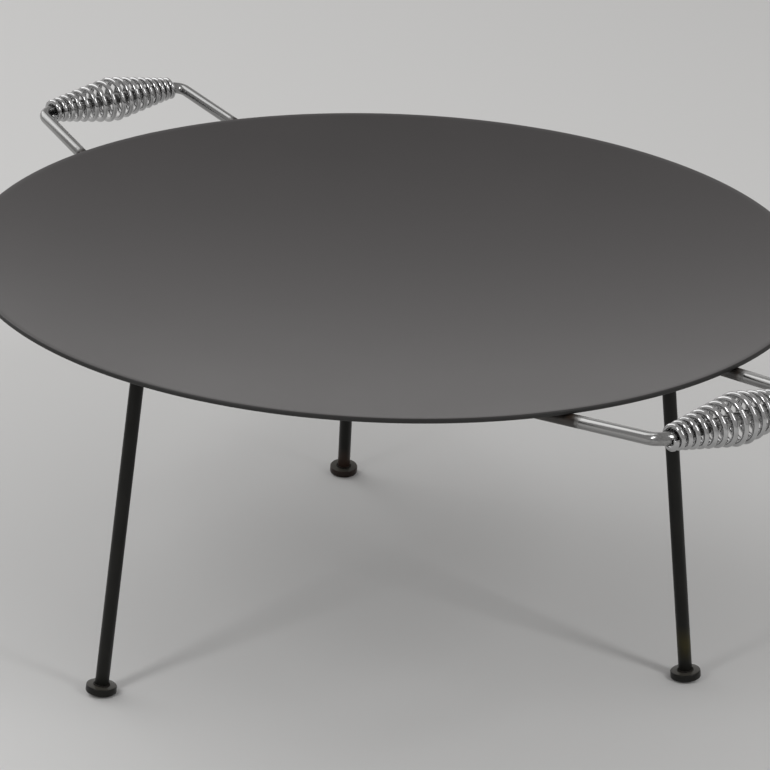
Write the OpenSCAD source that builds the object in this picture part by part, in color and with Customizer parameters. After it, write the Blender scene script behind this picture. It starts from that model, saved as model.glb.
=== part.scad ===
// Camp griddle plate: a dished steel plate on three screw-in legs, with two coil-grip handles.
// Millimetres. The origin is on the floor under the middle of the plate, Z is up, and the handles
// lie on the X axis. Legs and sockets stand square to the dished underside, which gives the legs
// their splay, and the handle arms lie tangent to it, which gives the handles their rise.

/* [Plate] */
// Outside diameter over the rim
plate_d = 550; // [400:10:700]
// Sheet thickness
plate_t = 3; // [2:0.5:6]
// Depth of the dish, from the rim down to the middle of the cooking face
dish_depth = 25; // [10:1:45]
// Bevel on both edges of the rim
rim_bevel = 0.7; // [0.2:0.1:1]
// Height of the rim's top edge above the floor
rim_height = 262; // [150:1:400]

/* [Legs] */
// Leg bar diameter
leg_d = 9; // [8:1:16]
// Distance of the legs from the middle, at the underside
leg_ring_r = 191; // [120:1:200]
// Stud diameter at the top of the leg
stud_d = 6; // [5:1:12]
// Stud length
stud_len = 21; // [10:1:30]
// Play between stud and socket, on the radius
stud_play = 0.05; // [0.02:0.01:0.1]
// Bevel at the tip of the stud
stud_bevel = 0.7; // [0.3:0.1:1.5]
// Foot disc diameter
foot_d = 20; // [16:0.5:40]
// Foot disc thickness
foot_t = 5; // [3:0.5:10]
// Bevel on the edges of the foot disc
foot_bevel = 0.8; // [0.3:0.1:1.5]
// Size of the weld between leg and foot
foot_weld = 1.5; // [1:0.5:4]

/* [Sockets] */
// Size across the flats of the hex socket
socket_flats = 10; // [10:1:24]
// Socket length
socket_len = 24; // [16:1:40]
// Bevel on the corners of the socket's mouth
socket_bevel = 1; // [0.5:0.1:2]
// Size of the weld between socket and plate
socket_weld = 3.5; // [2:0.5:6]

/* [Handles] */
// Handle bar diameter
bar_d = 8; // [6:1:12]
// Spacing of the two arms where they touch the underside, between their axes
arm_spacing = 130.5; // [110:0.5:160]
// Angle at which each arm leans in towards the cross-bar
arm_lean = 5; // [0:0.5:10]
// Distance of the cross-bar from the middle of the plate, as a part of the plate's radius
handle_reach = 1.228; // [1.15:0.001:1.4]
// Bend radius at the bar's axis
bend_r = 10; // [7:0.5:16]
// Length of each arm inside the place where it touches the underside
arm_lap = 33; // [20:1:60]
// Distance inside the rim at which the arms touch the underside
touch_in = 4; // [2:1:15]
// Bevel on the inner end of each arm
arm_bevel = 0.5; // [0.3:0.1:1]
// Size of the weld beside each arm
arm_weld = 4; // [2:0.5:6]
// Distance from the place where an arm touches to the end of its weld
weld_stop = 7; // [3:1:12]

/* [Coil grips] */
// Wire diameter
wire_d = 3.6; // [2:0.1:4.5]
// Play of the end turns on the bar, on the radius
grip_play = 0.6; // [0.5:0.1:0.9]
// Outside diameter at the middle of the coil
coil_d = 33; // [22:1:45]
// Number of turns
coil_turns = 17.5; // [10:0.5:20]
// How much wider the turns are spaced at the middle than at the ends, as a part of the mean
coil_spread = 0.22; // [0:0.01:0.4]
// Rounding of the double cone at its middle
coil_round = 0.1; // [0.05:0.01:0.6]
// How far each end of the coil reaches over the bend
coil_lap = 4; // [0:0.5:4]

/* [Hidden] */
$fn = 96;

// Dish: both faces are parts of spheres round one centre, high above the plate.
plate_r = plate_d / 2;
face_r = (plate_r * plate_r + dish_depth * dish_depth) / (2 * dish_depth);
under_r = face_r + plate_t;
rim_angle = asin(plate_r / under_r);
ball_z = rim_height + face_r * cos(rim_angle);

// Legs: each stands on a ray from the centre of the dish.
leg_angles = [270, 30, 150];
leg_splay = asin(leg_ring_r / under_r);
socket_z = ball_z - under_r * cos(leg_splay);
sole_s = (socket_z - (foot_d / 2 - foot_bevel) * sin(leg_splay)) / cos(leg_splay);
foot_s = sole_s - foot_t;
bore_d = stud_d + 2 * stud_play;
socket_corner_r = socket_flats / 2 / cos(30);
weld_fit = 0.01;

// Handles: each lies in a plane below the centre of the dish. In that plane both arms touch the
// underside near the rim and lean in towards the cross-bar.
bar_r = bar_d / 2;
touch_y = arm_spacing / 2;
touch_x = touch_y * tan(arm_lean);
touch_r = (plate_r - touch_in) * (under_r + bar_r) / under_r;
arm_side = touch_y / cos(arm_lean);
handle_ball = sqrt(pow(under_r + bar_r, 2) - arm_side * arm_side);
handle_rise = asin(sqrt(touch_r * touch_r - touch_y * touch_y) / norm([handle_ball, touch_x]))
    - atan2(touch_x, handle_ball);
handle_x = handle_ball * sin(handle_rise);
handle_z = ball_z - handle_ball * cos(handle_rise);
cross_x = (handle_reach * plate_r - handle_x) / cos(handle_rise);
corner_y = touch_y - (cross_x - touch_x) * tan(arm_lean);
cross_half = corner_y - bend_r * (1 - sin(arm_lean)) / cos(arm_lean);
arm_run = (cross_x - bend_r) * cos(arm_lean) - cross_half * sin(arm_lean);

// Coil: radius and place of the wire's axis along the grip.
wire_r = wire_d / 2;
coil_end_r = bar_r + grip_play + wire_r;
coil_mid_r = coil_d / 2 - wire_r;
coil_len = 2 * (cross_half + coil_lap) - wire_d;
coil_steps = 18;
coil_sides = 8;
coil_n = round(coil_turns * coil_steps);
coil_dead = 0.75 / coil_turns;

// How far the underside has curved away at a distance d from where a piece touches it.
function under_drop(d) = under_r - sqrt(under_r * under_r - d * d);

// Places a piece on leg k, with Z running down the leg from the underside of the plate.
module on_leg(k) {
    rotate([0, 0, leg_angles[k]])
        translate([leg_ring_r, 0, socket_z])
            rotate([0, 180 - leg_splay, 0])
                children();
}

// Places a piece on a handle, with X running out from the plate and Y along the cross-bar.
module on_handle(turn) {
    rotate([0, 0, turn])
        translate([handle_x, 0, handle_z])
            rotate([0, -handle_rise, 0])
                children();
}

// Places a piece on one arm of a handle, with X running out along it from where it touches.
module on_arm(side) {
    rotate([0, 0, -side * arm_lean])
        translate([0, side * arm_side, 0])
            children();
}

// A point of the plate's section, at a distance and an angle from the centre of the dish.
function dish_point(r, a) = [r * sin(a), ball_z - r * cos(a)];

// Pressed plate: the ring between two circles, cut off square to the sheet at the rim.
module griddle_plate() {
    bevel_angle = rim_angle - rim_bevel / under_r * 180 / PI;
    top_out = dish_point(face_r + rim_bevel, rim_angle);
    top_in = dish_point(face_r, bevel_angle);
    low_out = dish_point(under_r - rim_bevel, rim_angle);
    low_in = dish_point(under_r, bevel_angle);
    color([0.33, 0.33, 0.33])
        rotate_extrude($fn = 256)
            intersection() {
                difference() {
                    translate([0, ball_z])
                        circle(r = under_r, $fn = 1440);
                    translate([0, ball_z])
                        circle(r = face_r, $fn = 1440);
                }
                polygon([
                    [0, ball_z - face_r + 60],
                    top_out + 6 * (top_in - top_out),
                    top_out,
                    low_out,
                    low_out + 6 * (low_in - low_out),
                    [0, ball_z - under_r - 60]
                ]);
            }
}

module socket_hex() {
    translate([0, 0, -2])
        cylinder(h = socket_len + 4, r = socket_corner_r, $fn = 6);
}

// Long hex nut: its top fits the underside and its mouth has bevelled corners.
module leg_socket(k) {
    wide = socket_corner_r + 1;
    color([0.25, 0.25, 0.25])
        on_leg(k)
            intersection() {
                socket_hex();
                rotate_extrude()
                    polygon([
                        [bore_d / 2, weld_fit - under_drop(bore_d / 2)],
                        [wide, weld_fit - under_drop(wide)],
                        [wide, socket_len - 0.6 * (socket_bevel + 1)],
                        [socket_corner_r - socket_bevel, socket_len],
                        [bore_d / 2, socket_len]
                    ]);
            }
}

// Fillet of weld all round the nut, against its flats and the underside.
module socket_weld_ring(k) {
    inner = socket_flats / 4;
    toe = socket_corner_r + socket_weld;
    color([0.22, 0.2, 0.19])
        on_leg(k)
            difference() {
                rotate_extrude()
                    polygon([
                        [inner, weld_fit - under_drop(inner)],
                        [toe, weld_fit - under_drop(toe)],
                        [toe - 0.55 * socket_weld, 0.5 * socket_weld],
                        [socket_corner_r + 0.4, socket_weld],
                        [inner, socket_weld]
                    ]);
                socket_hex();
            }
}

// Leg: stud, shoulder and bar as one turned profile.
module leg_rod(k) {
    stud_r = stud_d / 2;
    color([0.2, 0.2, 0.19])
        on_leg(k)
            rotate_extrude()
                polygon([
                    [0, socket_len - stud_len],
                    [stud_r - stud_bevel, socket_len - stud_len],
                    [stud_r, socket_len - stud_len + stud_bevel],
                    [stud_r, socket_len],
                    [leg_d / 2, socket_len],
                    [leg_d / 2, foot_s],
                    [0, foot_s]
                ]);
}

module leg_foot(k) {
    foot_r = foot_d / 2;
    color([0.24, 0.24, 0.23])
        on_leg(k)
            rotate_extrude()
                polygon([
                    [0, foot_s],
                    [foot_r - foot_bevel, foot_s],
                    [foot_r, foot_s + foot_bevel],
                    [foot_r, sole_s - foot_bevel],
                    [foot_r - foot_bevel, sole_s],
                    [0, sole_s]
                ]);
}

module foot_weld_ring(k) {
    color([0.22, 0.2, 0.19])
        on_leg(k)
            rotate_extrude()
                polygon([
                    [leg_d / 2, foot_s - foot_weld],
                    [leg_d / 2 + 0.35 * foot_weld, foot_s - 0.55 * foot_weld],
                    [leg_d / 2 + foot_weld, foot_s],
                    [leg_d / 2, foot_s]
                ]);
}

// One side of the handle bar: an arm with its bevelled end, and a bend.
module bar_half() {
    on_arm(1)
        rotate([0, 90, 0])
            rotate_extrude()
                polygon([
                    [0, -arm_lap],
                    [bar_r - arm_bevel, -arm_lap],
                    [bar_r, arm_bevel - arm_lap],
                    [bar_r, arm_run],
                    [0, arm_run]
                ]);
    translate([cross_x - bend_r, cross_half, 0])
        rotate_extrude(angle = 90 - arm_lean)
            translate([bend_r, 0])
                circle(r = bar_r);
}

module handle_bar(turn) {
    color([0.75, 0.75, 0.76])
        on_handle(turn)
            union() {
                bar_half();
                mirror([0, 1, 0])
                    bar_half();
                translate([cross_x, -cross_half, 0])
                    rotate([-90, 0, 0])
                        cylinder(h = 2 * cross_half, r = bar_r);
            }
}

// Weld round a lapped arm: a bead along each side, joined across the arm's inner end. It is turned
// about the arm until its top faces the centre of the dish, and its top follows the underside.
module arm_weld_bead(turn, side) {
    bead_len = arm_lap - weld_stop;
    low = -0.1 * bar_r;
    high = bar_r + 3;
    root = bar_r + 0.4;
    toe = bar_r + arm_weld;
    stations = [for (i = [0 : 6]) bead_len - i * (bead_len + arm_weld) / 6];
    color([0.22, 0.2, 0.19])
        on_handle(turn)
            on_arm(side)
                translate([-arm_lap, 0, 0])
                    rotate([side * asin(arm_side / (under_r + bar_r)), 0, 0])
                        difference() {
                            intersection() {
                                translate([-toe, 0, 0])
                                    rotate([90, 0, 90])
                                        linear_extrude(height = toe + bead_len + 5)
                                            polygon([
                                                [-root, low],
                                                [root, low],
                                                [toe + 1, high],
                                                [-toe - 1, high]
                                            ]);
                                translate([0, toe + 3, 0])
                                    rotate([90, 0, 0])
                                        linear_extrude(height = 2 * toe + 6)
                                            polygon([
                                                [-0.6, low - 1],
                                                [bead_len - 2, low - 1],
                                                for (x = stations)
                                                    [x, bar_r + under_drop(x - arm_lap) - weld_fit]
                                            ]);
                            }
                            rotate([0, 90, 0])
                                cylinder(h = bead_len + 2, r = bar_r);
                            translate([0, -0.6 * bar_r, 0])
                                cube([bead_len + 2, 1.2 * bar_r, high + 1]);
                        }
}

// Share of the way from end size to middle size, for a place s from 0 to 1 along the coil.
function coil_swell(s) =
    let (u = max(0, min(1, (s - coil_dead) / (1 - 2 * coil_dead))), v = 2 * u - 1)
    (sqrt(1 + coil_round * coil_round) - sqrt(v * v + coil_round * coil_round))
    / (sqrt(1 + coil_round * coil_round) - coil_round);

// The wire's axis at place s: a right-hand helix that swells to the middle.
function coil_axis(s) =
    let (
        r = coil_end_r + (coil_mid_r - coil_end_r) * coil_swell(s),
        a = 360 * coil_turns * s
    )
    [
        r * cos(a),
        r * sin(a),
        coil_len * (s - coil_spread * sin(360 * s) / (2 * PI) - 0.5)
    ];

function unit(v) = v / norm(v);

// The points round the wire at step i, square to the wire's axis.
function coil_ring(i) =
    let (
        s = i / coil_n,
        here = coil_axis(s),
        along = unit(coil_axis(min(1, s + 0.002)) - coil_axis(max(0, s - 0.002))),
        a = 360 * coil_turns * s,
        out = unit(cross(cross(along, [cos(a), sin(a), 0]), along)),
        side = cross(along, out)
    )
    [for (j = [0 : coil_sides - 1])
        here + wire_r * (cos(360 * j / coil_sides) * out + sin(360 * j / coil_sides) * side)];

module coil_grip(turn) {
    points = [for (i = [0 : coil_n]) each coil_ring(i)];
    last = coil_n * coil_sides;
    faces = [
        for (i = [0 : coil_n - 1])
            for (j = [0 : coil_sides - 1])
                let (
                    k = (j + 1) % coil_sides,
                    p = i * coil_sides,
                    q = p + coil_sides
                )
                each [[p + j, q + j, q + k], [p + j, q + k, p + k]],
        for (j = [1 : coil_sides - 2])
            [0, j, j + 1],
        for (j = [1 : coil_sides - 2])
            [last, last + j + 1, last + j]
    ];
    color([0.75, 0.75, 0.76])
        on_handle(turn)
            translate([cross_x, 0, 0])
                rotate([-90, 0, 0])
                    polyhedron(points = points, faces = faces, convexity = 20);
}

griddle_plate();
leg_socket(0);  // leg_socket_1
leg_socket(1);  // leg_socket_2
leg_socket(2);  // leg_socket_3
socket_weld_ring(0);  // socket_weld_1
socket_weld_ring(1);  // socket_weld_2
socket_weld_ring(2);  // socket_weld_3
leg_rod(0);  // leg_rod_1
leg_rod(1);  // leg_rod_2
leg_rod(2);  // leg_rod_3
leg_foot(0);  // leg_foot_1
leg_foot(1);  // leg_foot_2
leg_foot(2);  // leg_foot_3
foot_weld_ring(0);  // foot_weld_1
foot_weld_ring(1);  // foot_weld_2
foot_weld_ring(2);  // foot_weld_3
handle_bar(0);  // handle_bar_a
handle_bar(180);  // handle_bar_b
arm_weld_bead(0, 1);  // arm_weld_a1
arm_weld_bead(0, -1);  // arm_weld_a2
arm_weld_bead(180, 1);  // arm_weld_b1
arm_weld_bead(180, -1);  // arm_weld_b2
coil_grip(0);  // coil_grip_a
coil_grip(180);  // coil_grip_b
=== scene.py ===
import math

import bpy
from mathutils import Matrix, Quaternion, Vector


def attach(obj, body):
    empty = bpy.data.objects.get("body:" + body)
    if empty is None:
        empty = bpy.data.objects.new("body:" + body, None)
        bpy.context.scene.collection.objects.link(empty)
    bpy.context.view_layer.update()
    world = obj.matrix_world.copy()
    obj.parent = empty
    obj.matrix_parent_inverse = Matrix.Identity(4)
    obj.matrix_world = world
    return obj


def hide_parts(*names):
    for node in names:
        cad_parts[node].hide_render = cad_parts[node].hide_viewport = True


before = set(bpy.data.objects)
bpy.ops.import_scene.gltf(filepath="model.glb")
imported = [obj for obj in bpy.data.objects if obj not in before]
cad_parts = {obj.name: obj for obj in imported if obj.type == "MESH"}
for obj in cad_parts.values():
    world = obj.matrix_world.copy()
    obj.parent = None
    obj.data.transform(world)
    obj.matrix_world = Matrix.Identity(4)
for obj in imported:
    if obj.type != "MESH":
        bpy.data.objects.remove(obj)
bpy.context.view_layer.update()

# Camera: a long lens at the photograph's viewing angle, turned a little about its own axis.
# Its place is measured from the middle of the rim, and it looks at a point below that.
view_azimuth = math.radians(52.65)
view_elevation = math.radians(20.96)
view_distance = 2.291
view_roll = math.radians(2.03)
lens_length = 164.2
sensor_width = 36
rim_height = 0.262
look_at = Vector((0, 0, 0.1655))
look_from = Vector((0, 0, rim_height)) + view_distance * Vector((
    math.sin(view_azimuth) * math.cos(view_elevation),
    -math.cos(view_azimuth) * math.cos(view_elevation),
    math.sin(view_elevation),
))
bpy.ops.object.camera_add(location=look_from)
camera = bpy.context.object
camera.data.lens = lens_length
camera.data.sensor_width = sensor_width
level = (look_at - look_from).to_track_quat("-Z", "Y")
camera.rotation_euler = (level @ Quaternion((0, 0, 1), view_roll)).to_euler()
bpy.context.scene.camera = camera

# Studio: a pale floor in a room that is paler behind the griddle than behind the camera. A narrow
# soft box on each side of the camera draws the streaks on the coils, and a large one on the far left
# the bright lines on the handle bars.
floor_size = 14.0
floor_colour = (0.67, 0.67, 0.665, 1)
floor_roughness = 0.85
room_colour = (1.0, 0.985, 0.975, 1)
room_strength = 0.45
wall_strength = 0.83
wall_way = (-math.sin(view_azimuth), math.cos(view_azimuth), 0)
wall_sides = (0.1, 0.85)
wall_top = (0.6, 0.1)
lamp_aim = Vector((0, 0, 0.26))


def add(tree, kind, inputs=None, **settings):
    """Adds a shader node. An input is given a value, or is linked to a socket."""
    made = tree.nodes.new("ShaderNode" + kind)
    for setting, value in settings.items():
        setattr(made, setting, value)
    for socket, value in (inputs or {}).items():
        if isinstance(value, bpy.types.NodeSocket):
            tree.links.new(value, made.inputs[socket])
        else:
            made.inputs[socket].default_value = value
    return made


def new_material(name):
    """A material of one Principled shader, and the tree that it is in."""
    made = bpy.data.materials.new(name)
    made.use_nodes = True
    return made, made.node_tree, made.node_tree.nodes["Principled BSDF"]


def part_way(tree, value, limits):
    """How far a value has come from one limit to another, from 0 to 1."""
    start, end = limits
    return add(tree, "MapRange", {"Value": value, "From Min": start, "From Max": end}).outputs["Result"]


def between(tree, share, limits):
    """The value that lies between two others, by a share from 0 to 1."""
    none, full = limits
    return add(tree, "MapRange", {"Value": share, "To Min": none, "To Max": full}).outputs["Result"]


def reckon(tree, operation, first, second=0.0):
    """Works out one value from one or two others."""
    return add(tree, "Math", {0: first, 1: second}, operation=operation).outputs[0]


def soft_box(name, place, width, height, power):
    """Hangs one rectangular lamp and turns it to the griddle."""
    bpy.ops.object.light_add(type="AREA", location=place)
    lamp = bpy.context.object
    lamp.name = name
    lamp.data.shape = "RECTANGLE"
    lamp.data.size = width
    lamp.data.size_y = height
    lamp.data.energy = power
    lamp.rotation_euler = (lamp_aim - Vector(place)).to_track_quat("-Z", "Y").to_euler()


bpy.context.scene.view_settings.view_transform = "Standard"
bpy.ops.object.select_all(action="DESELECT")
bpy.ops.mesh.primitive_plane_add(size=floor_size, location=(0, 0, 0))
floor = bpy.context.object
floor.name = "studio_floor"
floor_paint, _, floor_shader = new_material("studio_floor_paint")
floor_shader.inputs["Base Color"].default_value = floor_colour
floor_shader.inputs["Roughness"].default_value = floor_roughness
floor.data.materials.append(floor_paint)

room = bpy.data.worlds.new("studio_room")
room.use_nodes = True
tree = room.node_tree
looking = add(tree, "TexCoord").outputs["Generated"]
backwards = add(tree, "VectorMath", {0: looking, 1: wall_way}, operation="DOT_PRODUCT").outputs["Value"]
upwards = add(tree, "SeparateXYZ", {"Vector": looking}).outputs["Z"]
paler = reckon(tree, "MULTIPLY", part_way(tree, backwards, wall_sides), part_way(tree, upwards, wall_top))
background = tree.nodes["Background"]
background.inputs["Color"].default_value = room_colour
tree.links.new(between(tree, paler, (room_strength, wall_strength)), background.inputs["Strength"])
bpy.context.scene.world = room

soft_box("right_box", (2.0, 0.55, 1.75), width=0.4, height=1.3, power=15)
soft_box("left_box", (0.35, -2.05, 1.75), width=0.4, height=1.3, power=15)
soft_box("far_left_box", (-2.0, -0.48, 2.05), width=1.8, height=2.9, power=24)

# Griddle plate: 3 mm steel sheet, laser-cut to a disc, pressed to a shallow spherical dish and
# blackened with baked-on oil. Handles and leg sockets are welded to its underside.
rim_radius = 0.275
sheet = 0.003
dish_depth = 0.025
rim_rounding = 0.0008
plate_spokes = 256
ball_rings = 512
sharp_edge = math.radians(50)
face_radius = (rim_radius ** 2 + dish_depth ** 2) / (2 * dish_depth)
under_radius = face_radius + sheet
rim_angle = math.asin(rim_radius / under_radius)
ball_height = rim_height + face_radius * math.cos(rim_angle)
under_rim = ball_height - under_radius * math.cos(rim_angle)
oiled_dark = (0.0187, 0.0156, 0.0161, 1)
oiled_light = (0.0233, 0.0195, 0.0201, 1)
oiled_roughness = (0.28, 0.31)
oiled_relief = 0.00004
# The rim's cut edge is painted darker than the face, as painted shade on the side of the sheet.
edge_painted_shade = (0.008, 0.0077, 0.0072, 1)
edge_rougher = 0.25
edge_facing = (0.95, 0.7)


def select_only(piece):
    """Selects one piece and makes it the active one."""
    bpy.ops.object.select_all(action="DESELECT")
    piece.select_set(True)
    bpy.context.view_layer.objects.active = piece


def apply_all(piece):
    """Applies a piece's modifiers in order."""
    select_only(piece)
    for modifier in list(piece.modifiers):
        bpy.ops.object.modifier_apply(modifier=modifier.name)


def round_edges(piece, width, segments):
    """Rounds the sharp edges of a piece."""
    rounding = piece.modifiers.new("rounding", "BEVEL")
    rounding.width = width
    rounding.segments = segments
    rounding.limit_method = "ANGLE"
    rounding.angle_limit = sharp_edge
    apply_all(piece)


def smooth(piece, angle):
    """Shades a piece smooth, apart from edges sharper than an angle in degrees."""
    select_only(piece)
    bpy.ops.object.shade_smooth_by_angle(angle=math.radians(angle))


bpy.ops.object.select_all(action="DESELECT")
bpy.ops.mesh.primitive_uv_sphere_add(
    segments=plate_spokes, ring_count=ball_rings, radius=under_radius, location=(0, 0, ball_height)
)
plate = bpy.context.object
plate.name = "plate_dish"
bpy.ops.object.transform_apply(location=True, rotation=True, scale=True)
bpy.ops.object.mode_set(mode="EDIT")
bpy.ops.mesh.select_all(action="SELECT")
bpy.ops.mesh.bisect(plane_co=(0, 0, under_rim), plane_no=(0, 0, 1), clear_outer=True)
bpy.ops.object.mode_set(mode="OBJECT")
wall = plate.modifiers.new("wall", "SOLIDIFY")
wall.thickness = sheet
wall.offset = -1
apply_all(plate)
round_edges(plate, rim_rounding, segments=3)
smooth(plate, angle=40)


def mixed(tree, share, first, second):
    """Mixes two colours by a share from 0 to 1."""
    return add(tree, "Mix", {0: share, 6: first, 7: second}, data_type="RGBA").outputs[2]


def paint(tree, shader, share, first, second):
    """Gives a shader a colour between two others."""
    tree.links.new(mixed(tree, share, first, second), shader.inputs["Base Color"])


def raised(tree, shader, height, depth):
    """Gives a shader fine relief from a height."""
    relief = add(tree, "Bump", {"Height": height, "Distance": depth, "Strength": 0.5})
    tree.links.new(relief.outputs["Normal"], shader.inputs["Normal"])


def facing_up(tree):
    """How far a surface faces up, from -1 to 1."""
    normal = add(tree, "TexCoord").outputs["Normal"]
    return add(tree, "SeparateXYZ", {"Vector": normal}).outputs["Z"]


# Surface film: soft clouds and a fine grain. Every material of the griddle has the clouds at its own
# scale, and the plate and the black steel have the grain too.
film_limits = (0.3, 0.7)
film_group = bpy.data.node_groups.new("surface_film", "ShaderNodeTree")
film_group.interface.new_socket("Cloud scale", in_out="INPUT", socket_type="NodeSocketFloat")
film_group.interface.new_socket("Grain scale", in_out="INPUT", socket_type="NodeSocketFloat")
film_group.interface.new_socket("Cloud", in_out="OUTPUT", socket_type="NodeSocketFloat")
film_group.interface.new_socket("Grain", in_out="OUTPUT", socket_type="NodeSocketFloat")
film_in = film_group.nodes.new("NodeGroupInput")
film_out = film_group.nodes.new("NodeGroupOutput")
film_place = add(film_group, "TexCoord").outputs["Object"]
cloud_noise = add(film_group, "TexNoise", {
    "Vector": film_place, "Scale": film_in.outputs["Cloud scale"], "Detail": 5.0, "Roughness": 0.55,
}).outputs["Fac"]
grain_noise = add(film_group, "TexNoise", {
    "Vector": film_place, "Scale": film_in.outputs["Grain scale"], "Detail": 3.0,
}).outputs["Fac"]
film_group.links.new(part_way(film_group, cloud_noise, film_limits), film_out.inputs["Cloud"])
film_group.links.new(part_way(film_group, grain_noise, film_limits), film_out.inputs["Grain"])


def film_on(tree, cloud_scale, grain_scale=0.0):
    """Places the film in a material. One that only has the clouds needs no grain scale."""
    scales = {"Cloud scale": cloud_scale, "Grain scale": grain_scale}
    return add(tree, "Group", scales, node_tree=film_group).outputs


seasoned, tree, shader = new_material("seasoned_plate")
film = film_on(tree, cloud_scale=8.0, grain_scale=1100.0)
# Faces that look neither up nor down, which are the rim's cut edge, get the darker colour as painted
# shade. They are rougher too.
cut_edge = part_way(tree, reckon(tree, "ABSOLUTE", facing_up(tree)), edge_facing)
oiled = mixed(tree, film["Cloud"], oiled_dark, oiled_light)
paint(tree, shader, cut_edge, oiled, edge_painted_shade)
oiled_polish = between(tree, film["Cloud"], oiled_roughness)
edge_polish = between(tree, cut_edge, (0, edge_rougher))
tree.links.new(reckon(tree, "ADD", oiled_polish, edge_polish), shader.inputs["Roughness"])
raised(tree, shader, film["Grain"], oiled_relief)
plate.data.materials.append(seasoned)
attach(plate, "griddle")
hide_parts("griddle_plate")

# Leg sockets: long hex nuts, welded square to the underside of the dish, one for each leg.
# They are bought in, with bevelled corners at the mouth and a coarse thread.
leg_ring = 0.191
leg_angles = {1: 270, 2: 30, 3: 150}
leg_splay = math.asin(leg_ring / under_radius)
socket_height = ball_height - under_radius * math.cos(leg_splay)
socket_flats = 0.010
socket_length = 0.024
socket_corner = socket_flats / 2 / math.cos(math.radians(30))
socket_bevel = 0.001
bevel_slope = 0.6
cone_spare = 0.002
bore_radius = 0.00305
bore_crest = 0.0025
thread_pitch = 0.001
thread_size = 0.00054
thread_start = 0.0012
thread_steps = 36


def down_leg(k):
    """The place of leg k, with Z running down the leg from the underside of the plate."""
    return (
        Matrix.Rotation(math.radians(leg_angles[k]), 4, "Z")
        @ Matrix.Translation((leg_ring, 0, socket_height))
        @ Matrix.Rotation(math.pi - leg_splay, 4, "Y")
    )


def put(piece, place):
    """Moves a piece to its place, and keeps the place in its mesh."""
    select_only(piece)
    piece.matrix_world = place
    bpy.ops.object.transform_apply(location=True, rotation=True, scale=True)


def copy_to(piece, name, place):
    """A copy of a piece with its own mesh, at another place."""
    select_only(piece)
    bpy.ops.object.duplicate(linked=False)
    copied = bpy.context.object
    copied.name = name
    put(copied, place)
    return copied


def one_per_leg(first, body, node):
    """Copies a piece to all three legs, and says what each copy stands for."""
    name = first.name[:-1]
    pieces = {1: first}
    for k in (2, 3):
        pieces[k] = copy_to(first, f"{name}{k}", down_leg(k))
    put(first, down_leg(1))
    for k, piece in pieces.items():
        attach(piece, body.format(k))
        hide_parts(node.format(k))


def join(main, other):
    """Makes two meshes one piece."""
    select_only(main)
    other.select_set(True)
    bpy.ops.object.join()


def close_up(piece):
    """Merges doubled points and turns all faces outwards."""
    select_only(piece)
    bpy.ops.object.mode_set(mode="EDIT")
    bpy.ops.mesh.select_all(action="SELECT")
    bpy.ops.mesh.remove_doubles(threshold=0.000001)
    bpy.ops.mesh.normals_make_consistent(inside=False)
    bpy.ops.object.mode_set(mode="OBJECT")


def thread_ridge(crest_radius, outward, start, length):
    """A right-hand helical ridge about Z, closed at both ends. Outward is 1 on a stud, -1 in a bore."""
    bpy.ops.object.select_all(action="DESELECT")
    bpy.ops.mesh.primitive_circle_add(vertices=3, radius=thread_size, location=(0, 0, 0))
    ridge = bpy.context.object
    for vertex in ridge.data.vertices:
        below_crest = thread_size - vertex.co.y
        vertex.co = (crest_radius - outward * below_crest, 0, start + vertex.co.x)
    turns = ridge.modifiers.new("turns", "SCREW")
    turns.axis = "Z"
    turns.angle = math.tau
    turns.screw_offset = thread_pitch
    turns.iterations = int(length / thread_pitch)
    turns.steps = thread_steps
    turns.render_steps = thread_steps
    apply_all(ridge)
    bpy.ops.object.mode_set(mode="EDIT")
    bpy.ops.mesh.select_all(action="SELECT")
    bpy.ops.mesh.fill_holes(sides=3)
    bpy.ops.object.mode_set(mode="OBJECT")
    close_up(ridge)
    return ridge


def cut_with(piece, cutter, operation):
    """Cuts a piece with another, and removes the cutter."""
    cut = piece.modifiers.new("cut", "BOOLEAN")
    cut.operation = operation
    cut.object = cutter
    apply_all(piece)
    bpy.data.objects.remove(cutter)


bpy.ops.object.select_all(action="DESELECT")
bpy.ops.mesh.primitive_cylinder_add(
    vertices=6, radius=socket_corner, depth=socket_length,
    location=(0, 0, socket_length / 2), rotation=(0, 0, math.radians(30)),
)
nut = bpy.context.object
nut.name = "socket_nut_1"
bpy.ops.object.transform_apply(location=True, rotation=True, scale=True)
cone_depth = socket_length + cone_spare
cone_radius = socket_corner - socket_bevel
bpy.ops.mesh.primitive_cone_add(
    vertices=96, radius1=cone_radius + cone_depth / bevel_slope, radius2=cone_radius,
    depth=cone_depth, location=(0, 0, socket_length - cone_depth / 2),
)
cut_with(nut, bpy.context.object, "INTERSECT")
bpy.ops.mesh.primitive_cylinder_add(
    vertices=64, radius=bore_radius, depth=2 * socket_length, location=(0, 0, socket_length / 2)
)
cut_with(nut, bpy.context.object, "DIFFERENCE")
join(nut, thread_ridge(bore_crest, -1, thread_start, socket_length - 2 * thread_pitch))
smooth(nut, angle=30)

# Black steel: the finish of sockets, legs and feet. Heat has left a red tint on the back left leg
# and a straw one on the back right leg. The tops of the feet are painted paler as painted light, and are
# smoother.
black_dark = (0.0055, 0.0055, 0.0046, 1)
black_light = (0.0095, 0.0092, 0.0076, 1)
black_roughness = (0.30, 0.42)
black_gloss = 0.22
black_relief = 0.00003
red_tint = (0.046, 0.026, 0.019, 1)
red_height = 0.010
straw_tint = (0.034, 0.028, 0.007, 1)
straw_height = 0.026
tint_fade = (0.013, 0.002)
tint_patches = (0.5, 1)
left_to_right = (-0.05, 0.05)
back_legs = (0.05, 0.06)
foot_top_painted_light = (0.058, 0.055, 0.047, 1)
foot_top_facing = (0.8, 0.98)
foot_top_height = (0.009, 0.0078)
foot_top_smoother = -0.14


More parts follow.
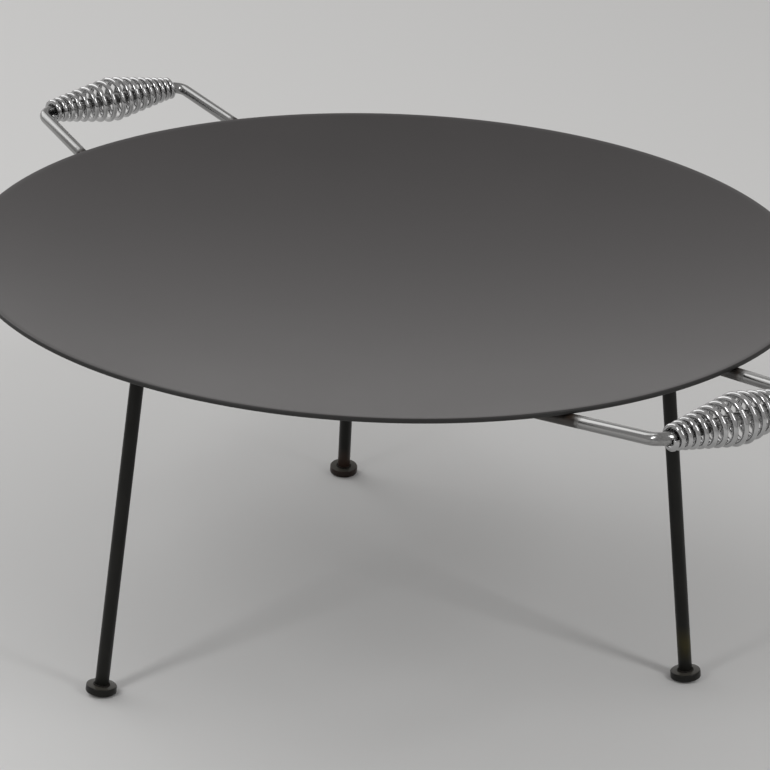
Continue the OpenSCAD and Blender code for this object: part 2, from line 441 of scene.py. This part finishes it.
def place_on(tree):
    """The place on the griddle, as X, Y and Z."""
    place = add(tree, "TexCoord").outputs["Object"]
    return add(tree, "SeparateXYZ", {"Vector": place}).outputs


black, tree, shader = new_material("black_steel")
film = film_on(tree, cloud_scale=60.0, grain_scale=1500.0)
place = place_on(tree)
to_right = part_way(tree, place["X"], left_to_right)
tint_height = between(tree, to_right, (red_height, straw_height))
off_tint = reckon(tree, "ABSOLUTE", reckon(tree, "SUBTRACT", place["Z"], tint_height))
at_back = part_way(tree, place["Y"], back_legs)
heat = reckon(tree, "MULTIPLY", part_way(tree, off_tint, tint_fade), at_back)
patchy_heat = reckon(tree, "MULTIPLY", heat, between(tree, film["Cloud"], tint_patches))
tint = mixed(tree, to_right, red_tint, straw_tint)
blackened = mixed(tree, film["Cloud"], black_dark, black_light)
# Upward faces at the height of the foot tops get a paler colour: painted light where the light falls on
# them.
foot_top = part_way(tree, facing_up(tree), foot_top_facing)
lit_foot_top = reckon(tree, "MULTIPLY", foot_top, part_way(tree, place["Z"], foot_top_height))
paint(tree, shader, lit_foot_top, mixed(tree, patchy_heat, blackened, tint), foot_top_painted_light)
black_polish = between(tree, film["Cloud"], black_roughness)
foot_top_polish = between(tree, lit_foot_top, (0, foot_top_smoother))
tree.links.new(reckon(tree, "ADD", black_polish, foot_top_polish), shader.inputs["Roughness"])
shader.inputs["Specular IOR Level"].default_value = black_gloss
raised(tree, shader, film["Grain"], black_relief)
nut.data.materials.append(black)
one_per_leg(nut, "griddle", "leg_socket_{}")

# Socket welds: a hand-laid bead round the foot of each nut, in overlapping ripples.
# It is left as welded, dark and scaly.
socket_bead_radius = 0.0021
socket_bead_out = 0.0008
socket_bead_drop = 0.0012
socket_ripples = 18
bead_sides = 12
ripple_rings = 4
ripple_depth = 0.0005
weld_black = (0.004, 0.0037, 0.0033, 1)
weld_brown = (0.013, 0.0095, 0.0068, 1)
weld_roughness = (0.48, 0.72)
weld_gloss = 0.25
weld_relief = 0.0002


def ripple(bead):
    """Pinches every fourth ring of a bead, and rounds the ripples that this leaves."""
    for vertex in bead.data.vertices:
        ring = vertex.index // bead_sides
        vertex.select = ring % ripple_rings == 0
    for polygon in bead.data.polygons:
        polygon.select = False
    for line in bead.data.edges:
        line.select = all(bead.data.vertices[v].select for v in line.vertices)
    select_only(bead)
    bpy.context.tool_settings.mesh_select_mode = (True, False, False)
    bpy.ops.object.mode_set(mode="EDIT")
    bpy.ops.transform.shrink_fatten(value=-ripple_depth)
    bpy.ops.object.mode_set(mode="OBJECT")
    rounded = bead.modifiers.new("rounded", "SUBSURF")
    rounded.levels = 1
    rounded.render_levels = 1
    apply_all(bead)
    bpy.ops.object.shade_smooth()


def bead_ring(name, ring_radius, bead_radius, height, ripples):
    """A ring of weld about Z."""
    bpy.ops.object.select_all(action="DESELECT")
    bpy.ops.mesh.primitive_torus_add(
        major_segments=ripples * ripple_rings, minor_segments=bead_sides,
        major_radius=ring_radius, minor_radius=bead_radius, location=(0, 0, height),
    )
    bead = bpy.context.object
    bead.name = name
    bpy.ops.object.transform_apply(location=True, rotation=True, scale=True)
    ripple(bead)
    return bead


weld, tree, shader = new_material("weld_metal")
cloud = film_on(tree, cloud_scale=260.0)["Cloud"]
paint(tree, shader, cloud, weld_black, weld_brown)
tree.links.new(between(tree, cloud, weld_roughness), shader.inputs["Roughness"])
shader.inputs["Specular IOR Level"].default_value = weld_gloss
raised(tree, shader, cloud, weld_relief)
socket_bead = bead_ring(
    "socket_bead_1", socket_corner + socket_bead_out, socket_bead_radius,
    socket_bead_drop, socket_ripples,
)
socket_bead.data.materials.append(weld)
one_per_leg(socket_bead, "griddle", "socket_weld_{}")

# Handle bars: 8 mm plated bar bent cold to a U, its arms lapped under the rim and welded there.
# Where the arms pass under the rim they are painted black with brown patches. This is partly burnt
# plating and partly painted shade and reflection of the plate.
bar_radius = 0.004
bar_sides = 40
bar_end_rounding = 0.0005
arm_spacing = 0.1305
arm_lean = math.radians(5)
arm_lap = 0.033
touch_in = 0.004
handle_reach = 0.3377
bend_radius = 0.010
bend_angle = math.pi / 2 - arm_lean
bend_steps = 16
touch_y = arm_spacing / 2
touch_x = touch_y * math.tan(arm_lean)
touch_ring = (rim_radius - touch_in) * (under_radius + bar_radius) / under_radius
arm_side = touch_y / math.cos(arm_lean)
handle_ball = math.sqrt((under_radius + bar_radius) ** 2 - arm_side ** 2)
touch_rise = math.asin(math.sqrt(touch_ring ** 2 - touch_y ** 2) / math.hypot(handle_ball, touch_x))
handle_rise = touch_rise - math.atan2(touch_x, handle_ball)
handle_x = handle_ball * math.sin(handle_rise)
handle_z = ball_height - handle_ball * math.cos(handle_rise)
cross_x = (handle_reach - handle_x) / math.cos(handle_rise)
corner_y = touch_y - (cross_x - touch_x) * math.tan(arm_lean)
cross_half = corner_y - bend_radius * (1 - math.sin(arm_lean)) / math.cos(arm_lean)
bend_x = cross_x - bend_radius
arm_length = arm_lap + bend_x * math.cos(arm_lean) - cross_half * math.sin(arm_lean)
arm_run_x = arm_length * math.cos(arm_lean)
arm_run_y = arm_length * math.sin(arm_lean)
plating_dark = (0.245, 0.245, 0.243, 1)
plating_light = (0.37, 0.37, 0.366, 1)
plating_roughness = (0.22, 0.11)
drawn_stretch = 0.012
drawn_limits = (0.32, 0.68)
drawn_relief = 0.00006
burnt_and_shade_black = (0.006, 0.0055, 0.005, 1)
burnt_brown = (0.026, 0.016, 0.010, 1)
dark_root_rougher = 0.3
dark_root_reach = rim_radius
dark_root_fringe = 0.006


def on_handle(turn):
    """The place of a handle, with X running out from the plate and Y along the cross-bar."""
    return (
        Matrix.Rotation(math.radians(turn), 4, "Z")
        @ Matrix.Translation((handle_x, 0, handle_z))
        @ Matrix.Rotation(-handle_rise, 4, "Y")
    )


def on_arm(side):
    """The inner end of one arm of a handle, with X running out along the arm."""
    return Matrix.Rotation(-side * arm_lean, 4, "Z") @ Matrix.Translation((-arm_lap, side * arm_side, 0))


def draw_out(x, y, z):
    """Draws the selected end of a bar straight on."""
    bpy.ops.mesh.extrude_region_move(TRANSFORM_OT_translate={"value": (x, y, z)})


def bend(steps, angle, centre):
    """Turns the selected end of a bar by an angle, to the left as seen from above."""
    bpy.ops.mesh.spin(steps=steps, angle=-angle, center=centre, axis=(0, 0, 1))


bpy.ops.object.select_all(action="DESELECT")
bpy.ops.mesh.primitive_circle_add(
    vertices=bar_sides, radius=bar_radius, fill_type="NGON",
    location=on_arm(-1).translation, rotation=(0, math.radians(90), arm_lean),
)
bar = bpy.context.object
bar.name = "handle_bar_bent_a"
bpy.ops.object.transform_apply(location=True, rotation=True, scale=True)
bpy.ops.object.mode_set(mode="EDIT")
bpy.ops.mesh.select_all(action="SELECT")
draw_out(arm_run_x, arm_run_y, 0)
bend(bend_steps, bend_angle, (bend_x, -cross_half, 0))
draw_out(0, 2 * cross_half, 0)
bend(bend_steps, bend_angle, (bend_x, cross_half, 0))
draw_out(-arm_run_x, arm_run_y, 0)
bpy.ops.object.mode_set(mode="OBJECT")
close_up(bar)
round_edges(bar, bar_end_rounding, segments=2)
smooth(bar, angle=40)

plated, tree, shader = new_material("plated_bar")
cloud = film_on(tree, cloud_scale=160.0)["Cloud"]
place = place_on(tree)
outwards = reckon(tree, "ABSOLUTE", place["X"])
sideways = reckon(tree, "ABSOLUTE", place["Y"])
across = reckon(tree, "ADD", sideways, reckon(tree, "MULTIPLY", outwards, math.tan(arm_lean)))
lift = reckon(tree, "SUBTRACT", place["Z"], reckon(tree, "MULTIPLY", outwards, math.tan(handle_rise)))
stretched = reckon(tree, "MULTIPLY", outwards, drawn_stretch)
drawn_place = add(tree, "CombineXYZ", {"X": stretched, "Y": across, "Z": lift}).outputs["Vector"]
drawn = add(tree, "TexNoise", {
    "Vector": drawn_place, "Scale": 900.0, "Detail": 3.0, "Roughness": 0.6,
}).outputs["Fac"]
streak = part_way(tree, drawn, drawn_limits)
# The arms' roots under the rim, and a ragged fringe beyond it, get the black. This is partly burnt
# plating and partly painted shade and reflection of the plate.
ragged = reckon(tree, "ADD", outwards, reckon(tree, "MULTIPLY", cloud, dark_root_fringe))
bright = part_way(tree, ragged, (dark_root_reach, dark_root_reach + dark_root_fringe))
plating = mixed(tree, streak, plating_dark, plating_light)
dark_root = mixed(tree, cloud, burnt_and_shade_black, burnt_brown)
paint(tree, shader, bright, dark_root, plating)
tree.links.new(bright, shader.inputs["Metallic"])
plating_polish = between(tree, streak, plating_roughness)
dark_root_polish = between(tree, bright, (dark_root_rougher, 0))
tree.links.new(reckon(tree, "ADD", plating_polish, dark_root_polish), shader.inputs["Roughness"])
raised(tree, shader, drawn, drawn_relief)
bar.data.materials.append(plated)
bar_b = copy_to(bar, "handle_bar_bent_b", on_handle(180))
put(bar, on_handle(0))
for piece, side in ((bar, "a"), (bar_b, "b")):
    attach(piece, "griddle")
    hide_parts(f"handle_bar_{side}")

# Arm welds: one bead down each side of a lapped arm, carried across its inner end.
# It fills the corner between the round bar and the underside.
arm_bead_radius = 0.0023
arm_bead_side = 0.0052
arm_bead_rise = 0.0027
arm_bead_length = 0.024
arm_bead_corner = 0.0035
arm_bead_steps = 24
corner_in = arm_bead_side - arm_bead_corner
corner_steps = 4
arm_tilt = math.asin(arm_side / (under_radius + bar_radius))


def bead_run(length):
    """Lays a straight run of bead along X, ring by ring."""
    for _ in range(arm_bead_steps):
        draw_out(length / arm_bead_steps, 0, 0)


def under_arm(turn, side):
    """The inner end of one arm, turned about the arm until Z faces the centre of the dish."""
    return on_handle(turn) @ on_arm(side) @ Matrix.Rotation(side * arm_tilt, 4, "X")


bpy.ops.object.select_all(action="DESELECT")
bpy.ops.mesh.primitive_circle_add(
    vertices=bead_sides, radius=arm_bead_radius, fill_type="NGON",
    location=(arm_bead_length, arm_bead_side, arm_bead_rise), rotation=(0, math.radians(90), 0),
)
arm_bead = bpy.context.object
arm_bead.name = "arm_bead_a1"
bpy.ops.object.transform_apply(location=True, rotation=True, scale=True)
bpy.ops.object.mode_set(mode="EDIT")
bpy.ops.mesh.select_all(action="SELECT")
bead_run(corner_in - arm_bead_length)
bend(corner_steps, math.pi / 2, (corner_in, corner_in, arm_bead_rise))
draw_out(0, -2 * corner_in, 0)
bend(corner_steps, math.pi / 2, (corner_in, -corner_in, arm_bead_rise))
bead_run(arm_bead_length - corner_in)
bpy.ops.object.mode_set(mode="OBJECT")
close_up(arm_bead)
ripple(arm_bead)
arm_bead.data.materials.append(weld)
arm_beads = {
    "a2": copy_to(arm_bead, "arm_bead_a2", under_arm(0, -1)),
    "b1": copy_to(arm_bead, "arm_bead_b1", under_arm(180, 1)),
    "b2": copy_to(arm_bead, "arm_bead_b2", under_arm(180, -1)),
    "a1": arm_bead,
}
put(arm_bead, under_arm(0, 1))
for name, piece in arm_beads.items():
    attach(piece, "griddle")
    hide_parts(f"arm_weld_{name}")

# Coil grips: plated spring wire wound to a double cone, loose on the cross-bar between its bends,
# so that the hand stays clear of the hot bar.
wire_radius = 0.0018
wire_end_rounding = 0.0004
grip_play = 0.0006
coil_lap = 0.004
coil_outside = 0.0163
coil_middle = coil_outside - wire_radius
coil_end = bar_radius + grip_play + wire_radius
coil_length = 2 * (cross_half + coil_lap - wire_radius)
coil_turns = 17.5
dead_turns = 0.75
coil_spread = 0.22
coil_round = 0.05
coil_steps = 40
wire_dark = (0.40, 0.40, 0.402, 1)
wire_light = (0.53, 0.53, 0.532, 1)
wire_roughness = (0.07, 0.14)


def coil_rise(s):
    """The share of the coil's length at a share s of its turns, which lie closer at both ends."""
    return s - coil_spread * math.sin(math.tau * s) / math.tau


def coil_point(s):
    """The wire's axis at a share s of the turns, on a right-hand helix that swells to its middle."""
    dead_rise = coil_rise(dead_turns / coil_turns)
    along = max(0, min(1, (coil_rise(s) - dead_rise) / (1 - 2 * dead_rise)))
    peak = math.hypot(1, coil_round)
    swell = (peak - math.hypot(2 * along - 1, coil_round)) / (peak - coil_round)
    radius = coil_end + (coil_middle - coil_end) * swell
    angle = math.tau * coil_turns * s
    height = coil_length * (coil_rise(s) - 0.5)
    return radius * math.cos(angle), radius * math.sin(angle), height


wire_path = bpy.data.curves.new("coil_wire", "CURVE")
wire_path.dimensions = "3D"
wire_path.bevel_depth = wire_radius
wire_path.bevel_resolution = 4
wire_path.use_fill_caps = True
wire_line = wire_path.splines.new("POLY")
wire_count = int(coil_turns * coil_steps)
wire_line.points.add(wire_count)
for i, point in enumerate(wire_line.points):
    point.co = (*coil_point(i / wire_count), 1)
coil = bpy.data.objects.new("grip_coil_a", wire_path)
bpy.context.collection.objects.link(coil)
select_only(coil)
bpy.ops.object.convert(target="MESH")
coil = bpy.context.object
close_up(coil)
round_edges(coil, wire_end_rounding, segments=2)
smooth(coil, angle=40)

wire, tree, shader = new_material("plated_wire")
cloud = film_on(tree, cloud_scale=150.0)["Cloud"]
paint(tree, shader, cloud, wire_dark, wire_light)
tree.links.new(between(tree, cloud, wire_roughness), shader.inputs["Roughness"])
shader.inputs["Metallic"].default_value = 1
coil.data.materials.append(wire)
along_bar = Matrix.Translation((cross_x, 0, 0)) @ Matrix.Rotation(math.radians(-90), 4, "X")
coil_b = copy_to(coil, "grip_coil_b", on_handle(180) @ along_bar)
put(coil, on_handle(0) @ along_bar)
for piece, side in ((coil, "a"), (coil_b, "b")):
    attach(piece, f"grip_{side}")
    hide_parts(f"coil_grip_{side}")

# Legs: 9 mm round bar, turned down at the top to a threaded stud that screws into the nut until
# the shoulder meets it. They are blackened like the plate.
leg_radius = 0.0045
leg_sides = 48
shoulder_rounding = 0.0002
stud_length = 0.021
stud_root = 0.0025
stud_crest = 0.003
stud_tip = 0.0007
stud_taper = 0.8
stud_top = socket_length - stud_length
foot_radius = 0.010
foot_thick = 0.005
foot_bevel = 0.0008
sole_distance = (socket_height - (foot_radius - foot_bevel) * math.sin(leg_splay)) / math.cos(leg_splay)
foot_distance = sole_distance - foot_thick
leg_length = foot_distance - socket_length
bpy.ops.object.select_all(action="DESELECT")
bpy.ops.mesh.primitive_cylinder_add(
    vertices=leg_sides, radius=leg_radius, depth=leg_length,
    location=(0, 0, socket_length + leg_length / 2),
)
leg = bpy.context.object
leg.name = "leg_bar_1"
bpy.ops.object.transform_apply(location=True, rotation=True, scale=True)
for polygon in leg.data.polygons:
    polygon.select = polygon.normal.z < -0.9
bpy.context.tool_settings.mesh_select_mode = (False, False, True)
bpy.ops.object.mode_set(mode="EDIT")
bpy.ops.mesh.inset(thickness=leg_radius - stud_root)
draw_out(0, 0, stud_tip - stud_length)
draw_out(0, 0, -stud_tip)
bpy.ops.transform.resize(value=(stud_taper, stud_taper, 1), center_override=(0, 0, stud_top))
bpy.ops.object.mode_set(mode="OBJECT")
round_edges(leg, shoulder_rounding, segments=2)
join(leg, thread_ridge(stud_crest, 1, stud_top + stud_tip, stud_length - 2 * thread_pitch))
smooth(leg, angle=30)
leg.data.materials.append(black)
one_per_leg(leg, "leg_{}", "leg_rod_{}")

# Feet: thick steel discs, square to the leg and welded to its end, with rounded edges.
# They are blackened with the legs.
foot_sides = 64
bpy.ops.object.select_all(action="DESELECT")
bpy.ops.mesh.primitive_cylinder_add(
    vertices=foot_sides, radius=foot_radius, depth=foot_thick,
    location=(0, 0, foot_distance + foot_thick / 2),
)
foot = bpy.context.object
foot.name = "foot_disc_1"
bpy.ops.object.transform_apply(location=True, rotation=True, scale=True)
round_edges(foot, foot_bevel, segments=4)
smooth(foot, angle=30)
foot.data.materials.append(black)
one_per_leg(foot, "leg_{}", "leg_foot_{}")

# Foot welds: a thin bead in the corner between bar and disc.
# It is left as welded, like the beads at the sockets.
foot_bead_radius = 0.0007
foot_bead_out = 0.0004
foot_bead_lift = 0.0003
foot_ripples = 14
foot_bead = bead_ring(
    "foot_bead_1", leg_radius + foot_bead_out, foot_bead_radius,
    foot_distance - foot_bead_lift, foot_ripples,
)
foot_bead.data.materials.append(weld)
one_per_leg(foot_bead, "leg_{}", "foot_weld_{}")
